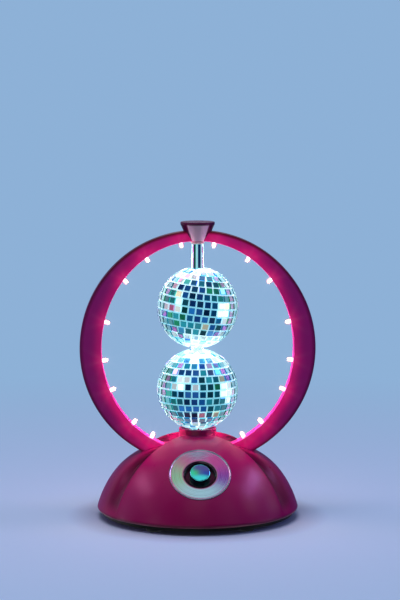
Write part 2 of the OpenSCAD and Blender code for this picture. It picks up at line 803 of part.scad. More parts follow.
// Square mirror tiles in level rows, left out where the tube or spacer stands
module ball_tiles(tilt, shift) {
  for (i = [1 : tile_rows - 2]) {
    lat = (i - (tile_rows - 1) / 2) * 180 / tile_rows;
    inner = (ball_r - tile_t) * cos(lat) - tile / 2 * sin(abs(lat));
    n = min(round(2 * tile_rows * cos(lat)), floor(2 * PI * inner / (tile + 0.25)));
    for (k = [0 : n - 1]) {
      a = 270 + (k + shift + 0.12 * sin(137 * i)) * 360 / n;
      x = cos(tilt) * cos(lat) * cos(a) + sin(tilt) * sin(lat);
      y = cos(lat) * sin(a);
      if (ball_r * norm([x, y]) > seat_r + 0.75 * tile)
        rotate([0, tilt, 0]) rotate([0, -lat, a]) translate([ball_r - tile_t, -tile / 2, -tile / 2])
          cube([tile_t, tile, tile]);
    }
  }
}

module lower_ball() {
  color("white") translate([0, 0, lower_z]) ball_core();
}

module lower_tiles() {
  color("lightsteelblue") translate([0, 0, lower_z]) ball_tiles(0, 0.5);
}

// Spacer that keeps the balls apart
module neck_spacer() {
  color("white")
  translate([0, 0, lower_z + flat_z])
    difference() {
      cylinder(r = seat_r - 0.1, h = upper_z - lower_z - 2 * flat_z);
      translate([0, 0, -1]) cylinder(r = spindle_r + 0.01, h = ball_r);
    }
}

module upper_ball() {
  color("white") translate([0, 0, upper_z]) ball_core();
}

module upper_tiles() {
  color("lightsteelblue") translate([0, 0, upper_z]) ball_tiles(upper_tilt, 0);
}

// Bright tube between the upper ball and the top bearing
module upper_sleeve() {
  color("gainsboro")
  translate([0, 0, upper_z + flat_z])
    difference() {
      cylinder(r = sleeve_r, h = sleeve_top - upper_z - flat_z);
      translate([0, 0, -1]) cylinder(r = spindle_r + 0.01, h = ring_r);
    }
}

// Driver board on its posts
module circuit_board() {
  color("darkgreen")
  translate([board_x, board_y, board_z]) {
    translate([-board_w / 2, -board_l / 2, 0]) cube([board_w, board_l, board_t]);
    translate([-6, -8, board_t]) cube([12, 9, 3]);
    translate([4, 8, board_t]) cylinder(r = 3, h = 7);
  }
}

// Cells with their raised ends
module batteries() {
  color("dimgray")
  for (i = [0 : cell_n - 1])
    translate([0, cell_y0 + i * cell_pitch, cell_z]) mirror([i % 2, 0, 0]) rotate([0, 90, 0]) {
      translate([0, 0, -cell_len / 2]) cylinder(r = cell_r, h = cell_len - 1.2);
      translate([0, 0, -cell_len / 2]) cylinder(r = 2.6, h = cell_len);
    }
}

// Sprung tongues at both ends of each cell
module battery_contacts() {
  color("silver")
  both_sides() for (i = [0 : cell_n - 1])
    translate([bay_x - contact_t, cell_y0 + i * cell_pitch, cell_z]) {
      translate([0, -4.5, -4.5]) cube([contact_t, 9, 9]);
      translate([-(bay_x - contact_t - cell_len / 2) + 0.1, 0, 0]) rotate([0, 90, 0])
        cylinder(r = 2.2, h = bay_x - contact_t - cell_len / 2);
    }
}

// Door that slides off to the rear under the floor
module battery_door() {
  color([0.09, 0.09, 0.1])
  difference() {
    translate([-door_x, door_y0, door_z]) cube([2 * door_x, door_y1 - door_y0, door_t]);
    for (i = [0 : 3]) translate([-10, door_y1 - 6 - 3 * i, door_z - 1]) cube([20, 1.4, 1.5]);
  }
}

base_shell();
base_plate();
rubber_feet();
base_screws();
ring_front();
ring_rear();
ring_screws();
leg_screws();
leds();
led_wiring();
finial();
finial_screw();
top_bush();
collar_bush();
front_plate();
button_bezel();
push_button();
switch_body();
gear_frame();
gear_lid();
gear_screws();
motor();
motor_pinion();
idler_gear();
idler_pin();
spindle();
spindle_gear();
lower_sleeve();
lower_ball();
lower_tiles();
neck_spacer();
upper_ball();
upper_tiles();
upper_sleeve();
circuit_board();
batteries();
battery_contacts();
battery_door();
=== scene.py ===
import bmesh
import bpy
import numpy as np
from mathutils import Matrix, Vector


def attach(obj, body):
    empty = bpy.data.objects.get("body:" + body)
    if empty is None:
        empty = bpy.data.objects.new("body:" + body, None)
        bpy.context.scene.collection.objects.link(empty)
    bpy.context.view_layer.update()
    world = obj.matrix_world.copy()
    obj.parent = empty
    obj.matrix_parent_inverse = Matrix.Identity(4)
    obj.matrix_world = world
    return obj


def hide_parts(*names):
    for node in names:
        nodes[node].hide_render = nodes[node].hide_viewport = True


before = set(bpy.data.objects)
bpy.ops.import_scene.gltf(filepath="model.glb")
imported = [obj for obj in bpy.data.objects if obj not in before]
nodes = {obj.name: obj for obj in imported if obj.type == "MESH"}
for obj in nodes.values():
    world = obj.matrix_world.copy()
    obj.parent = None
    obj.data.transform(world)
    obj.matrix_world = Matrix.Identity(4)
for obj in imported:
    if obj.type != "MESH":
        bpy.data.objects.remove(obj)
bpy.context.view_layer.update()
scene = bpy.context.scene

# Camera
# A long lens about two metres away, 0.43 m above the table and two degrees to the left,
# as the photograph was taken.
LOOK_AT = Vector((0, 0, 0.2045))
camera = bpy.data.objects.new("camera", bpy.data.cameras.new("camera"))
scene.collection.objects.link(camera)
camera.location = (-0.0698, -1.9988, 0.43)
camera.rotation_euler = (LOOK_AT - camera.location).to_track_quat("-Z", "Y").to_euler()
camera.data.lens = 129.06
camera.data.shift_x = 0.004
camera.data.clip_end = 100
scene.camera = camera
scene.view_settings.view_transform = "Standard"

# Fluted dome
# One moulding in glossy magenta plastic: two raised lobes, front and rear, with sunk panels between
# them where the ring's legs go in, a flute along each lobe's edge, and a collar on the crown.
MM = 0.001
CREASE = 35
LOBE_R, LOBE_X, LOBE_Z = 94, 3.806, -15
PANEL_R, PANEL_X, PANEL_Z = 74.6, 21.43, -5.4
FLUTE_R, FLUTE_DX, FLUTE_DZ, FLUTE_OFF_SQUARED = 116, -16.44, -19.6, 654.5
FADE_TURN, LOBE_TURN = 23.5, 35.0
DOME_WALL = 3.2
COLLAR_R, CUP_R, CUP_Z, COLLAR_ROUND = 17.5, 15.5, 80, 0.7
BORE_R = 7.65
RIM_IN = 87.8


def put(tree, kind, sockets={}, **options):
    """Adds a node. Options are its settings; sockets gives an input a value or an output to link."""
    node = tree.nodes.new(kind)
    for key, value in options.items():
        setattr(node, key, value)
    for key, value in sockets.items():
        if isinstance(value, bpy.types.NodeSocket):
            tree.links.new(value, node.inputs[key])
        else:
            node.inputs[key].default_value = value
    return node


def feed(node, **outputs):
    """Links outputs to a node's inputs; an input's name has _ for each space."""
    for key, output in outputs.items():
        node.id_data.links.new(output, node.inputs[key.replace("_", " ")])


def maths(tree, operation, *values):
    """Result of a Math node; each value is a number or an output."""
    return put(tree, "ShaderNodeMath", dict(enumerate(values)), operation=operation).outputs[0]


def scaled(tree, value, low, high, first=0.0, last=1.0, kind="LINEAR"):
    """Runs from first to last while a value runs from low to high."""
    return put(tree, "ShaderNodeMapRange", {0: value, 1: low, 2: high, 3: first, 4: last},
               interpolation_type=kind).outputs[0]


def blend(tree, share, color, other):
    """Colour that goes from one to the other with a share; each is a colour or an output."""
    return put(tree, "ShaderNodeMix", {0: share, 6: color, 7: other}, data_type="RGBA").outputs[2]


def noise(tree, where, scale, detail, roughness=0.5):
    """Cloudy noise of 0 to 1."""
    return put(tree, "ShaderNodeTexNoise", {"Vector": where, "Scale": scale, "Detail": detail,
                                            "Roughness": roughness}).outputs["Fac"]


def place(tree):
    """A piece's own coordinates."""
    return put(tree, "ShaderNodeTexCoord").outputs["Object"]


def marked(tree, attribute):
    """Number that is stored on a mesh's points."""
    return put(tree, "ShaderNodeAttribute", attribute_name=attribute).outputs["Fac"]


def group_of(name, takes, gives):
    """Empty node group with the named inputs and outputs; returns its tree, input and output node."""
    tree = bpy.data.node_groups.new(name, "ShaderNodeTree")
    for label, kind, value in takes:
        socket = tree.interface.new_socket(label, in_out="INPUT", socket_type="NodeSocket" + kind)
        if value is not None:
            socket.default_value = value
    for label, kind in gives:
        tree.interface.new_socket(label, in_out="OUTPUT", socket_type="NodeSocket" + kind)
    return tree, tree.nodes.new("NodeGroupInput").outputs, tree.nodes.new("NodeGroupOutput")


def coating(name, **values):
    """Material with one Principled shader, whose plain values are set on its own sockets."""
    mat = bpy.data.materials.new(name)
    mat.use_nodes = True
    shader = mat.node_tree.nodes["Principled BSDF"]
    for key, value in values.items():
        shader.inputs[key.replace("_", " ")].default_value = value
    return mat, mat.node_tree, shader


# Moulded plastic: cloudy pigment, smears in its gloss and a faint ripple of the mould
moulded, take, give = group_of(
    "moulded_skin",
    [("Vector", "Vector", None), ("Color", "Color", (0.5, 0.5, 0.5, 1)),
     ("Deep", "Color", (0.2, 0.2, 0.2, 1)), ("Cloud", "Float", 0.3), ("Gloss", "Float", 0.25)],
    [("Color", "Color"), ("Roughness", "Float"), ("Height", "Float")])
patch = maths(moulded, "MULTIPLY", noise(moulded, take["Vector"], 28.0, 4.0), take["Cloud"])
smear = scaled(moulded, noise(moulded, take["Vector"], 110.0, 6.0, 0.7), 0.3, 0.8, -0.04, 0.1)
feed(give, Color=blend(moulded, patch, take["Color"], take["Deep"]),
     Roughness=maths(moulded, "ADD", smear, take["Gloss"]),
     Height=noise(moulded, take["Vector"], 420.0, 2.0))


def plastic(name, color, deep, cloud=0.35, gloss=0.25, bump=0.00004, **values):
    """Moulded plastic on Object coordinates, with its pigment, gloss and ripple."""
    mat, tree, shader = coating(name, **values)
    skin = put(tree, "ShaderNodeGroup", {
        "Vector": place(tree), "Color": (*color, 1), "Deep": (*deep, 1), "Cloud": cloud, "Gloss": gloss},
        node_tree=moulded).outputs
    wave = put(tree, "ShaderNodeBump", {"Height": skin["Height"], "Distance": bump, "Strength": 1.0})
    feed(shader, Base_Color=skin["Color"], Roughness=skin["Roughness"], Normal=wave.outputs[0])
    return mat, tree, shader


def grid_faces(nu, nv, close_v=True):
    """Faces between neighbours of an nu by nv grid of points. The last row joins the first, and so does the
    last column where it closes."""
    i = np.arange(nu)[:, None]
    j = np.arange(nv if close_v else nv - 1)[None, :]
    i2, j2 = (i + 1) % nu, (j + 1) % nv
    return np.stack([i * nv + j, i2 * nv + j, i2 * nv + j2, i * nv + j2], -1).reshape(-1, 4)


def sheet(name, p, mat, close_v=True):
    """Closed surface through the points p[i, j], with a face between each four neighbours."""
    return solid(name, p.reshape(-1, 3), grid_faces(*p.shape[:2], close_v), mat)


def solid(name, points, faces, mat, crease=CREASE):
    """Object from points in millimetres and faces, merged, turned outwards and creased over an angle."""
    mesh = bpy.data.meshes.new(name)
    mesh.from_pydata((np.asarray(points) * MM).tolist(), [], np.asarray(faces).tolist())
    work = bmesh.new()
    work.from_mesh(mesh)
    bmesh.ops.remove_doubles(work, verts=work.verts, dist=1e-7)
    bmesh.ops.dissolve_degenerate(work, edges=work.edges, dist=1e-7)
    bmesh.ops.recalc_face_normals(work, faces=work.faces)
    work.to_mesh(mesh)
    work.free()
    mesh.polygons.foreach_set("use_smooth", np.ones(len(mesh.polygons), bool))
    mesh.set_sharp_from_angle(angle=np.radians(crease))
    mesh.materials.append(mat)
    piece = bpy.data.objects.new(name, mesh)
    scene.collection.objects.link(piece)
    return piece


UP_AXIS = (np.zeros(3), np.array([1, 0, 0]), np.array([0, 1, 0]), np.array([0, 0, 1]))


def turned(profile, count, axis=UP_AXIS):
    """Surface of revolution: each profile point (r, h) goes round the axis, r out and h along it.
    The axis is a foot point, two unit vectors square to the direction, and the direction."""
    a = np.linspace(0, 2 * np.pi, count, endpoint=False)[:, None]
    r, h = np.asarray(profile, float).T
    foot, e1, e2, up = axis
    ring = r[None, :, None] * (np.cos(a)[..., None] * e1 + np.sin(a)[..., None] * e2)
    return foot + ring + h[None, :, None] * up


def plug(name, r, low, high, count, axis, mat):
    """Cylinder about an axis, to cut with."""
    return sheet(name, turned([(0, low), (r, low), (r, high), (0, high)], count, axis), mat, close_v=False)


def rounded(cr, ch, radius, start, end, count=6):
    """Arc of a profile about (cr, ch), from one angle in degrees to another."""
    a = np.radians(np.linspace(start, end, count))
    return np.stack([cr + radius * np.cos(a), ch + radius * np.sin(a)], 1)


def even(x, low, high):
    """Smooth rise from 0 at low to 1 at high."""
    u = np.clip((x - low) / (high - low), 0, 1)
    return u * u * (3 - 2 * u)


def lobe_edge(turn):
    """How far a bearing lies in the sunk panel and in the flute, each 0 to 1: both end in a soft step at
    35 degrees from the ring's plane, where a lobe begins."""
    fine = np.linspace(-5, 95, 2001)
    u = np.clip((fine - FADE_TURN) / (LOBE_TURN - FADE_TURN), 0, 1)
    blur = np.hanning(31) / np.hanning(31).sum()
    panel = np.convolve(np.pad(1 - u ** 4, 15, "edge"), blur, "valid")
    flute = np.convolve(np.pad(even(fine, 20, 30) * (1 - u ** 6), 15, "edge"), blur, "valid")
    fold = np.degrees(np.arcsin(np.abs(np.sin(np.radians(turn)))))
    return np.interp(fold, fine, panel), np.interp(fold, fine, flute)


def dome_points():
    """Dome as an arc of 94 mm about (3.8, -15). Between the lobes, at under 35 degrees from the
    ring's plane, it drops to an arc of 74.6 mm about (21.4, -5.4); a flute whose floor is an arc of
    116 mm about (-12.6, -34.6) follows the lobe's edge on down to the rim. The wall is 3.2 mm thick."""
    quarter = np.concatenate([np.linspace(0, 22, 10, endpoint=False),
                              np.linspace(22, 38, 52, endpoint=False), np.linspace(38, 90, 27)])
    turn = np.concatenate([quarter, 180 - quarter[::-1][1:], 180 + quarter[1:], 360 - quarter[::-1][1:-1]])
    panel, flute = (share[:, None] for share in lobe_edge(turn))

    def skin(rho, r0, r1, count, flutes):
        """Arc of radius rho from r0 to r1, dropped between the lobes by a fall that fades out at the rim."""
        phi = np.linspace(np.arcsin((r0 - LOBE_X) / rho), np.arcsin((r1 - LOBE_X) / rho), count)
        r, z = LOBE_X + rho * np.sin(phi), LOBE_Z + rho * np.cos(phi)
        fall = z + LOBE_R - rho - PANEL_Z - np.sqrt(PANEL_R ** 2 - np.minimum(r - PANEL_X, 74) ** 2)
        fall = (fall + np.sqrt(fall ** 2 + 0.5)) / 2 * even(-r, -84, -72)
        lean = FLUTE_DX * np.sin(phi) + FLUTE_DZ * np.cos(phi)
        deep = np.maximum(LOBE_R - lean - np.sqrt(FLUTE_R ** 2 - FLUTE_OFF_SQUARED + lean ** 2), 0) * flutes
        deep = flute * deep * (1 - even(panel * fall, 1.0, 4.5))
        return r - deep * np.sin(phi), z - panel * fall - deep * np.cos(phi)

    def same(*pairs):
        """Points of the profile that are the same all round."""
        rz = np.asarray(pairs, float)
        return np.repeat(rz[None, :, 0], len(turn), 0), np.repeat(rz[None, :, 1], len(turn), 0)

    out_r, out_z = skin(LOBE_R, 18.7, 94.42, 110, 1)
    in_r, in_z = skin(LOBE_R - DOME_WALL, COLLAR_R, RIM_IN, 40, 0)
    foot_z = out_z[:, :1]
    lip_z = 83.3
    collar = same((BORE_R, CUP_Z), (CUP_R, CUP_Z), (CUP_R, lip_z),
                  *rounded(CUP_R + COLLAR_ROUND, lip_z, COLLAR_ROUND, 180, 90),
                  *rounded(COLLAR_R - COLLAR_ROUND, lip_z, COLLAR_ROUND, 90, 0), (COLLAR_R, 82))
    fillet = (COLLAR_R + np.array([[0, 0.08, 0.3, 0.7]]) + 0 * foot_z,
              foot_z + np.array([[1.4, 0.75, 0.3, 0.06]]))
    rim = same(*rounded(91, 10, 3.5, -12, -90, 8), (RIM_IN, 6.5))
    bore = (BORE_R + 0 * foot_z, in_z[:, :1])
    r = np.concatenate([collar[0], fillet[0], out_r, rim[0], in_r[:, ::-1], bore[0]], 1)
    z = np.concatenate([collar[1], fillet[1], out_z, rim[1], in_z[:, ::-1], bore[1]], 1)
    a = np.radians(turn)[:, None]
    return np.stack([r * np.cos(a), r * np.sin(a), z], -1)


def tinted_by(tree, shader, attribute, color):
    """Blends the base colour towards a colour where an attribute of the mesh is high; here it paints shade or a
    reflection.
    """
    pigment = shader.inputs["Base Color"].links[0].from_socket
    feed(shader, Base_Color=blend(tree, marked(tree, attribute), pigment, (*color, 1)))


def points_of(piece):
    """A piece's points in millimetres."""
    p = np.zeros(len(piece.data.vertices) * 3, np.float32)
    piece.data.vertices.foreach_get("co", p)
    return p.reshape(-1, 3) / MM


def store(piece, name, value):
    """Keeps one number for each point of a piece as a named attribute."""
    piece.data.attributes.new(name, "FLOAT", "POINT").data.foreach_set("value", value.astype(np.float32))


magenta, tree, shader = plastic(
    "magenta_plastic", (0.50, 0.006, 0.135), (0.32, 0.005, 0.115), cloud=0.5, gloss=0.30, bump=0.00003,
    Specular_IOR_Level=0.08, Coat_Roughness=0.27)
# Painted shade: the dome goes dark maroon in its sunk panels and flutes
tinted_by(tree, shader, "recess_shade", (0.06, 0.002, 0.022))
feed(shader, Coat_Weight=marked(tree, "polish"))
dome = sheet("dome_skin", dome_points(), magenta)

# Seat of the front plate: a flat let into the dome square to the plate's axis
TILT = np.radians(47.5)
PLATE_T, SEAT_R = 1.2, 28.65
plate_axis = (np.array([0, -64.455, 51.105]), np.array([1.0, 0, 0]),
              np.array([0, np.sin(TILT), np.cos(TILT)]), np.array([0, -np.cos(TILT), np.sin(TILT)]))


def cut_with(piece, *tools):
    """Takes the tools' volume out of a piece, keeps the result as its mesh and removes the tools."""
    for tool in tools:
        cut = piece.modifiers.new("cut", "BOOLEAN")
        cut.object, cut.solver = tool, "EXACT"
    mesh = bpy.data.meshes.new_from_object(piece.evaluated_get(bpy.context.evaluated_depsgraph_get()))
    piece.modifiers.clear()
    piece.data = mesh
    mesh.set_sharp_from_angle(angle=np.radians(CREASE))
    for tool in tools:
        bpy.data.objects.remove(tool)


cut_with(dome, plug("seat_tool", SEAT_R, -PLATE_T, 22, 160, plate_axis, magenta))

# Painted shade in the sunk panels and flutes, darkest in the flutes and weaker towards the rim, and a polished
# coat on the lobes
x, y = points_of(dome).T[:2]
fold = np.degrees(np.arctan2(np.abs(y), np.abs(x)))
out = np.hypot(x, y)
groove = ((0.3 + 0.65 * even(fold, 14, 28)) * even(-fold, -36.5, -33.5)
          * even(out, 24, 40) * even(-out, -94.4, -89))
store(dome, "recess_shade", groove * (1 - 0.3 * even(out, 60, 85)))
store(dome, "polish", 0.42 * even(fold, 34.5, 40) + 0.05)
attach(dome, "lamp")
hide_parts("base_shell")

# Floor, battery door and feet
# A black moulded floor screwed up under the dome, a door that slides off it to the rear,
# and four soft feet pushed in by their pegs.
black, _, _ = plastic("black_plastic", (0.008, 0.006, 0.008), (0.014, 0.010, 0.014), gloss=0.45,
                      bump=0.00008, Specular_IOR_Level=0.2)
soft, _, _ = plastic("soft_rubber", (0.018, 0.018, 0.019), (0.035, 0.034, 0.034), gloss=0.72, bump=0.00012)


def dress(mat, *names):
    """Gives CAD nodes a material."""
    for name in names:
        for slot in nodes[name].material_slots:
            slot.material = mat


dress(black, "base_plate", "battery_door")
dress(soft, "rubber_feet")

# Ring
# Two hollow mouldings in the dome's plastic, closed on each other by screws from behind. Round
# outside and oval inside, so the band is narrow at the top; a painted glow stands for the light that soaks
# into it at each lamp.
RING_Z, RING_R, RING_DEPTH, RING_WALL = 159.5, 110.5, 7.5, 2.2
OPEN_X, OPEN_TOP, OPEN_LOW = 90, 100.75, 97.0
EDGE_IN, EDGE_OUT = 0.7, 2
LEG_Z, LEG_TURN = 59.5, 166
HEAD_R, HEAD_H, SHANK_R = 2.8, 1.8, 1.5
LAMP_ANGLES = np.array([8.96, 29.53, 47.0, 74.05, 97.56, 116.11, 139.61, 152.93])
LAMP_TURNS = np.radians(np.concatenate([LAMP_ANGLES, -LAMP_ANGLES]))
SCREW_ANGLES = np.array([60.49, 86.83, 107.88, 129.08])


def opening(t):
    """Distance from the ring's middle to its opening: half an oval of 90 by 100.75 mm above and
    half of one 97 mm deep below."""
    b = np.where(np.cos(t) > 0, OPEN_TOP, OPEN_LOW)
    return 1 / np.sqrt((np.sin(t) / OPEN_X) ** 2 + (np.cos(t) / b) ** 2)


def ring_points(side):
    """Half of the ring: a channel 2.2 mm thick carried round from leg to leg. A profile point lies at a
    share of the way from the opening to the outside, plus an offset, and at a depth from the parting face.
    What would hang under the legs' ends is pressed flat on them."""
    face = [(w, (1 - w) * EDGE_IN - w * EDGE_OUT, RING_DEPTH) for w in np.linspace(0, 1, 9)[1:-1]]
    floor = RING_DEPTH - RING_WALL
    rows = ([(0, 0.2, 0), (0, 0, 0.25), (0, 0, 3.5)]
            + [(0, EDGE_IN - c, RING_DEPTH - EDGE_IN + s) for c, s in rounded(0, 0, EDGE_IN, 0, 90, 5)]
            + face
            + [(1, c - EDGE_OUT, RING_DEPTH - EDGE_OUT + s) for c, s in rounded(0, 0, EDGE_OUT, 90, 0, 8)]
            + [(1, 0, 3), (1, 0, 0.25), (1, -0.2, 0), (1, -RING_WALL, 0), (1, -RING_WALL, floor),
               (0, RING_WALL, floor), (0, RING_WALL, 0)])
    share, off, depth = np.array(rows, float).T
    t = np.radians(np.linspace(-LEG_TURN, LEG_TURN, 420))[:, None]
    r = (1 - share) * opening(t) + share * RING_R + off
    z = np.maximum(RING_Z + r * np.cos(t), LEG_Z)
    return np.stack([r * np.sin(t), np.broadcast_to(side * depth, r.shape), z], -1)


def lit_by_lamps(piece):
    """Stores a painted glow for the lamp light that soaks into each point: a sum of bells 8 mm wide about the
    sixteen lamps, weaker at the ring's sides where the band is wide, a band along the opening that is stronger
    low down, and a faint glow all over that is stronger near the top and the legs. Also stores painted shade on
    the outer rounding, which little light reaches, and least at the top."""
    p = points_of(piece)
    t = LAMP_TURNS
    tips = np.stack([opening(t) * np.sin(t), 0 * t, RING_Z + opening(t) * np.cos(t)], 1)
    gap = np.linalg.norm((p[:, None, :] - tips[None])[..., [0, 2]], axis=-1)
    around = np.arctan2(p[:, 0], p[:, 2] - RING_Z)
    reach = np.hypot(p[:, 0], p[:, 2] - RING_Z)
    inward = reach - opening(around)
    upright = 0.35 + 0.55 * np.abs(np.cos(t)) ** 1.5
    glow = (upright * np.exp(-(gap / 8) ** 2)).sum(1) + 0.5 * np.exp(-(inward / 6) ** 2) + 0.08
    glow = glow + 0.3 * even(np.abs(np.cos(around)), 0.6, 0.95)
    glow = glow + 0.6 * even(-np.cos(around), 0.1, 0.65) * np.exp(-(inward / 7) ** 2)
    glow = glow * (0.2 + 0.8 * even(RING_R - reach, 0.2, 3.0))
    store(piece, "lamp_glow", glow)
    shaded = 0.65 + 0.35 * even(np.cos(around), 0.0, 0.8)
    store(piece, "outer_edge_shade", shaded * even(reach, 107, 109.5))


def ramp(tree, share, stops):
    """Colour ramp through (position, colour) stops."""
    node = put(tree, "ShaderNodeValToRGB", {0: share})
    slots = node.color_ramp.elements
    for k, (at, color) in enumerate(stops):
        stop = slots[k] if k < 2 else slots.new(at)
        stop.position, stop.color = at, (*color, 1)
    return node.outputs[0]


# The ring's plastic is a lighter, bluer, painted-lit copy of the dome's
lit_magenta, tree, shader = plastic(
    "lit_magenta", (0.62, 0.038, 0.46), (0.45, 0.030, 0.41), cloud=0.5, gloss=0.34, bump=0.00003,
    Specular_IOR_Level=0.15, Emission_Strength=0.5)
# Painted shade on the ring's outer rounding, darkest at the top
tinted_by(tree, shader, "outer_edge_shade", (0.07, 0.004, 0.022))
# Painted glow: the ring glows crimson where lamp light would soak in
feed(shader, Emission_Color=ramp(tree, marked(tree, "lamp_glow"),
                                 [(0.0, (0, 0, 0)), (1.0, (0.80, 0.003, 0.10))]))

ring_front = sheet("ring_front_skin", ring_points(-1), lit_magenta)
ring_rear = sheet("ring_rear_skin", ring_points(1), lit_magenta)
turns = np.radians(np.concatenate([SCREW_ANGLES, -SCREW_ANGLES]))
spot_r = (RING_R + opening(turns)) / 2
screw_spots = np.stack([spot_r * np.sin(turns), 0 * turns + RING_DEPTH, RING_Z + spot_r * np.cos(turns)], 1)
back = (np.array([1.0, 0, 0]), np.array([0, 0, 1.0]), np.array([0, 1.0, 0]))
cut_with(ring_rear, *[plug("pit_tool", HEAD_R + 0.15, -HEAD_H, 3, 32, (spot, *back), lit_magenta)
                      for spot in screw_spots])
for piece, node in ((ring_front, "ring_front"), (ring_rear, "ring_rear")):
    lit_by_lamps(piece)
    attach(piece, "lamp")
    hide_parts(node)

# Screws
# Small zinc-plated pan heads with a cross recess: eight close the ring from behind and four hold the
# floor. The others are inside and keep their plain heads.
fine_metal, take, give = group_of("drawn_metal", [("Vector", "Vector", None), ("Gloss", "Float", 0.2)],
                                  [("Roughness", "Float"), ("Height", "Float")])
haze = scaled(fine_metal, noise(fine_metal, take["Vector"], 260.0, 5.0), 0.3, 0.8, -0.03, 0.08)
feed(give, Roughness=maths(fine_metal, "ADD", haze, take["Gloss"]),
     Height=noise(fine_metal, take["Vector"], 1500.0, 3.0))


def metal(name, color, gloss=0.2, bump=0.00001, stretch=(1, 1, 1), **values):
    """Bare or plated metal on Object coordinates; stretch draws its marks out along an axis."""
    mat, tree, shader = coating(name, Base_Color=(*color, 1), Metallic=1.0, **values)
    laid = put(tree, "ShaderNodeMapping", {"Vector": place(tree), "Scale": stretch})
    skin = put(tree, "ShaderNodeGroup", {"Vector": laid.outputs[0], "Gloss": gloss},
               node_tree=fine_metal).outputs
    wave = put(tree, "ShaderNodeBump", {"Height": skin["Height"], "Distance": bump})
    feed(shader, Roughness=skin["Roughness"], Normal=wave.outputs[0])
    return mat, tree, shader


zinc, _, _ = metal("zinc_plate", (0.62, 0.61, 0.57), gloss=0.3)


def screw_points(length):
    """Pan-head screw about +Z, head at 0 to -1.8: the head's top is a low dome with a cross let in
    where either arm is under 0.45 mm wide; the shank's radius is 1.5 mm."""
    a = np.linspace(0, 2 * np.pi, 48, endpoint=False)[:, None]
    r = np.array([0, 0.5, 0.9, 1.3, 1.7, 2.1, 2.5])[None, :]
    arm = np.minimum(np.abs(r * np.cos(a)), np.abs(r * np.sin(a)))
    top = -0.1 - 0.05 * r ** 2 - 0.9 * even(-arm, -0.55, -0.4) * even(-r, -2.0, -1.6)
    rest = np.array([(HEAD_R, -0.7), (HEAD_R, -HEAD_H), (SHANK_R, -HEAD_H), (SHANK_R, -HEAD_H - length),
                     (0, -HEAD_H - 0.4 - length)])
    r = np.concatenate([np.broadcast_to(r, top.shape), np.broadcast_to(rest[:, 0], (48, 5))], 1)
    h = np.concatenate([top, np.broadcast_to(rest[:, 1], (48, 5))], 1)
    return np.stack([r * np.cos(a), r * np.sin(a), h], -1)


def screws_at(name, spots, e1, e2, up, length):
    """Copies of one screw: local x, y and z laid along e1, e2 and up from each spot."""
    one = screw_points(length)
    laid = one[..., :1] * e1 + one[..., 1:2] * e2 + one[..., 2:] * up
    stack = spots[:, None, None, :] + laid[None]
    count, nu, nv = stack.shape[:3]
    quads = grid_faces(nu, nv, close_v=False)
    faces = (np.arange(count)[:, None, None] * nu * nv + quads[None]).reshape(-1, 4)
    return solid(name, stack.reshape(-1, 3), faces, zinc)


ring_screws = screws_at("ring_screw_heads", screw_spots, *back, 9.5)
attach(ring_screws, "lamp")
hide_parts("ring_screws")
FLOOR_SCREW_R, FLOOR_SCREW_Z = 77, 3.5
q = np.radians(np.array([17, 163, 197, 343]))
floor_spots = np.stack([FLOOR_SCREW_R * np.cos(q), FLOOR_SCREW_R * np.sin(q), 0 * q + FLOOR_SCREW_Z], 1)
floor_screws = screws_at("floor_screw_heads", floor_spots, np.array([1.0, 0, 0]), np.array([0, -1.0, 0]),
                         np.array([0, 0, -1.0]), 9.2)
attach(floor_screws, "lamp")
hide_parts("base_screws")
dress(zinc, "leg_screws", "finial_screw", "gear_screws")

# Lamps of the ring
# Sixteen clear 5 mm round-nosed lamps pushed through the ring's inner wall, each lit white from within;
# copper wires and the lamps' legs run in the hollow.
LIGHT_IN = 16


def facing(tree):
    """0 where a surface faces the eye and 1 where it is seen edge on."""
    return put(tree, "ShaderNodeLayerWeight", {"Blend": 0.5}).outputs["Facing"]


lens, tree, shader = coating("lit_lens", Base_Color=(0.5, 0.45, 0.5, 1), Roughness=0.1, Coat_Weight=0.4,
                             Emission_Strength=3.2)
cast = ramp(tree, noise(tree, place(tree), 21.0, 1.0),
            [(0.36, (0.80, 1.0, 0.93)), (0.62, (1.0, 0.72, 0.84)), (0.48, (1, 1, 1))])
feed(shader, Emission_Color=blend(tree, scaled(tree, facing(tree), 0.02, 0.40), cast, (0.05, 0.012, 0.025, 1)))
copper, _, _ = metal("copper_wire", (0.72, 0.34, 0.18), gloss=0.3)
dress(lens, "leds")
dress(copper, "led_wiring")
for k, t in enumerate(LAMP_TURNS):
    light = bpy.data.lights.new(f"lamp_light_{k}", "POINT")
    light.energy, light.shadow_soft_size = 0.024, 0.003
    light.color = (1.0, 0.65, 0.50)
    bulb = bpy.data.objects.new(light.name, light)
    reach = (opening(t) - LIGHT_IN) * MM
    bulb.location = (reach * np.sin(t), 0, RING_Z * MM + reach * np.cos(t))
    bulb.visible_glossy = False
    scene.collection.objects.link(bulb)

# Finial
# A solid funnel in the same plastic that straddles the top of the ring, held by a screw from
# inside the ring's hollow.
FOOT_R, FLARE, FOOT_Z, HORN_H = 9, 7, 260.35, 15.35
u = np.linspace(0, 1, 24)
horn = np.stack([FOOT_R + FLARE * u, FOOT_Z + HORN_H * u], 1)
finial_with_reflection, tree, shader = plastic("finial_plastic", (0.16, 0.005, 0.08), (0.09, 0.004, 0.07), cloud=0.5,
                              gloss=0.28, bump=0.00003, Specular_IOR_Level=0.12)
# Painted reflection: the funnel's front and rear faces below the rim are drawn pale lilac
tinted_by(tree, shader, "painted_reflection_face", (0.86, 0.66, 1.0))
finial = sheet("finial_skin", turned(np.concatenate(
    [[(0, FOOT_Z)], horn, rounded(15.2, 277.2, 0.8, 0, 90, 7), [(11, 277.95), (6, 277.8), (0, 277.75)]]), 96),
    finial_with_reflection, close_v=False)
x, y, z = points_of(finial).T
